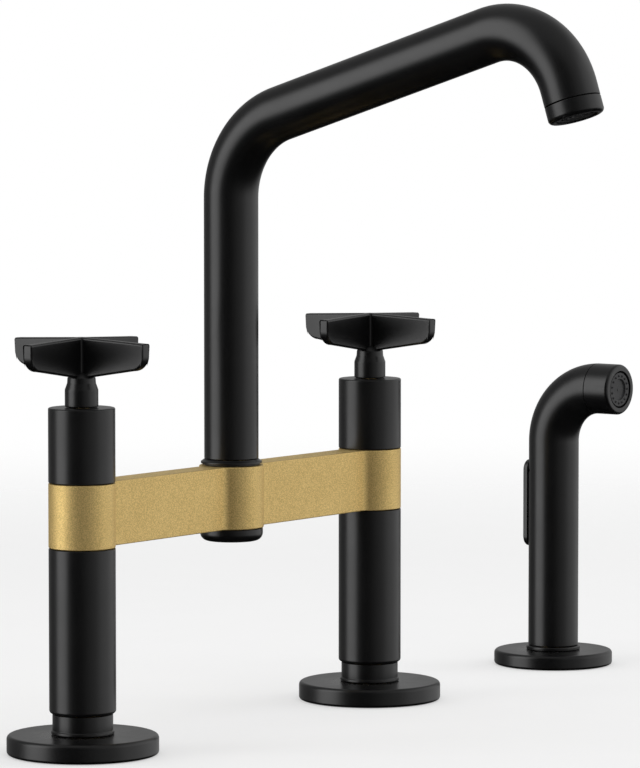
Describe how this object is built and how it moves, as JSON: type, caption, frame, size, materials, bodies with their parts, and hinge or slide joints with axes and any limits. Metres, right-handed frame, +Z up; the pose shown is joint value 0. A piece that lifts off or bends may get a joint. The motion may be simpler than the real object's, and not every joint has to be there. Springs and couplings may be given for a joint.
{
  "type": "bridge kitchen faucet",
  "caption": "Bridge kitchen faucet with cross-handle valve posts, a brushed brass bridge, a turning arched spout and a separate side spray.",
  "frame": {"origin": "middle of the whole faucet's footprint on the deck, at deck level; the spout turns about the vertical line x -0.0708, y 0.07821", "axes": "+Z up, +X along the bridge from the left post to the side spray, -Y towards the user, the way the spout points"},
  "size_m": [0.4144, 0.226, 0.3144],
  "materials": {
    "matte_black": "satin black coat on brass",
    "brushed_brass": "fine sand-brushed, bare",
    "plain_brass": "as machined",
    "rubber": "matt",
    "ceramic": "lapped ceramic",
    "steel": "plain stainless",
    "black_plastic": "moulded"
  },
  "bodies": {
    "faucet_body": {"left_deck_gasket": "rubber", "left_flange": "matte_black", "left_neck": "matte_black", "left_sleeve": "matte_black", "left_valve_body": "plain_brass", "left_seat_seal": "rubber", "left_fixed_disc": "ceramic", "left_cartridge": "plain_brass", "left_cartridge_nut": "plain_brass", "left_bonnet": "matte_black", "right_deck_gasket": "rubber", "right_flange": "matte_black", "right_neck": "matte_black", "right_sleeve": "matte_black", "right_valve_body": "plain_brass", "right_seat_seal": "rubber", "right_fixed_disc": "ceramic", "right_cartridge": "plain_brass", "right_cartridge_nut": "plain_brass", "right_bonnet": "matte_black", "bridge": "brushed_brass", "bottom_cap": "matte_black", "spout_glide": "black_plastic", "spray_gasket": "rubber", "spray_flange": "matte_black", "spray_guide": "matte_black"},
    "left_handle": {"left_handle": "matte_black", "left_handle_screw": "steel", "left_spindle": "plain_brass", "left_spindle_seal": "rubber", "left_moving_disc": "ceramic"},
    "right_handle": {"right_handle": "matte_black", "right_handle_screw": "steel", "right_spindle": "plain_brass", "right_spindle_seal": "rubber", "right_moving_disc": "ceramic"},
    "spout": {"spout_tube": "matte_black", "spout_base_ring": "matte_black", "spout_stem": "plain_brass", "spout_seal_low": "rubber", "spout_seal_high": "rubber", "spout_retainer": "steel", "spout_screw": "steel", "outlet_ring": "matte_black", "aerator": "black_plastic"},
    "spray_connector": {"spray_connector": "plain_brass"},
    "spray_head": {"spray_body": "matte_black", "spray_nozzle_ring": "matte_black", "spray_face": "black_plastic", "spray_trigger_pin": "steel"},
    "spray_trigger": {"spray_trigger": "matte_black"},
    "spray_plunger": {"spray_plunger": "plain_brass"}
  },
  "joints": [
    {"name": "left_handle_turn", "type": "hinge", "parent": "faucet_body", "child": "left_handle", "pos_m": [-0.1724, 0.07821, 0.16], "axis": [0, 0, 1], "range_deg": [0, 90]},
    {"name": "right_handle_turn", "type": "hinge", "parent": "faucet_body", "child": "right_handle", "pos_m": [0.0308, 0.07821, 0.16], "axis": [0, 0, 1], "range_deg": [-90, 0]},
    {"name": "spout_swivel", "type": "hinge", "parent": "faucet_body", "child": "spout", "pos_m": [-0.0708, 0.07821, 0.1], "axis": [0, 0, 1], "continuous": true},
    {"name": "spray_lift", "type": "slide", "parent": "faucet_body", "child": "spray_connector", "axis": [0, 0, 1], "range_m": [0, 0.15]},
    {"name": "spray_swivel", "type": "hinge", "parent": "spray_connector", "child": "spray_head", "pos_m": [0.179, 0.07821, 0.05], "axis": [0, 0, 1], "continuous": true},
    {"name": "trigger_press", "type": "hinge", "parent": "spray_head", "child": "spray_trigger", "pos_m": [0.179, 0.08701, 0.093], "axis": [-1, 0, 0], "range_deg": [0, 2.6], "stiffness_Nm_per_rad": 1.5, "springref_deg": -1.72},
    {"name": "plunger_push", "type": "slide", "parent": "spray_head", "child": "spray_plunger", "axis": [0, -1, 0], "range_m": [0, 0.0014]}
  ],
  "couplings": [
    {"joint": "plunger_push", "follows": "trigger_press", "m_per_rad": 0.029}
  ]
}
